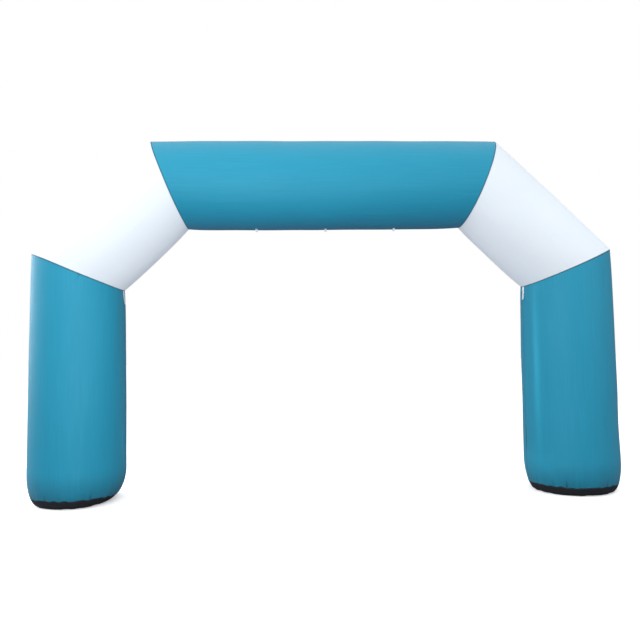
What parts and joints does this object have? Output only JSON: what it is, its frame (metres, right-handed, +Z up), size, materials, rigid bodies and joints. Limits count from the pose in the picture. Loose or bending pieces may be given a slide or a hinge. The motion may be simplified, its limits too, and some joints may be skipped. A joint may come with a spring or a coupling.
{
  "type": "inflatable arch",
  "caption": "Free-standing inflatable arch of mitred round cloth tube with upright legs, sloping shoulders and a level beam, to walk or run through.",
  "frame": {"origin": "on the ground, midway between the legs and midway front to back", "axes": "+X along the beam towards the right leg, +Y through the passage towards the back, +Z up"},
  "size_m": [6.526, 1.026, 3.97],
  "materials": {
    "teal_cloth": "coated polyester, low sheen",
    "white_cloth": "coated polyester, low sheen",
    "black_sheet": "heavy coated ground sheet, matt",
    "white_webbing": "flat woven webbing, matt"
  },
  "bodies": {
    "root": {"leg_tube_left": "teal_cloth", "leg_tube_right": "teal_cloth", "shoulder_tube_left": "white_cloth", "shoulder_tube_right": "white_cloth", "beam_tube": "teal_cloth", "ground_pan_left": "black_sheet", "ground_pan_right": "black_sheet", "tie_loop_left": "white_webbing", "tie_loop_centre": "white_webbing", "tie_loop_right": "white_webbing", "corner_tab_left": "white_webbing", "corner_tab_right": "white_webbing"}
  },
  "joints": []
}
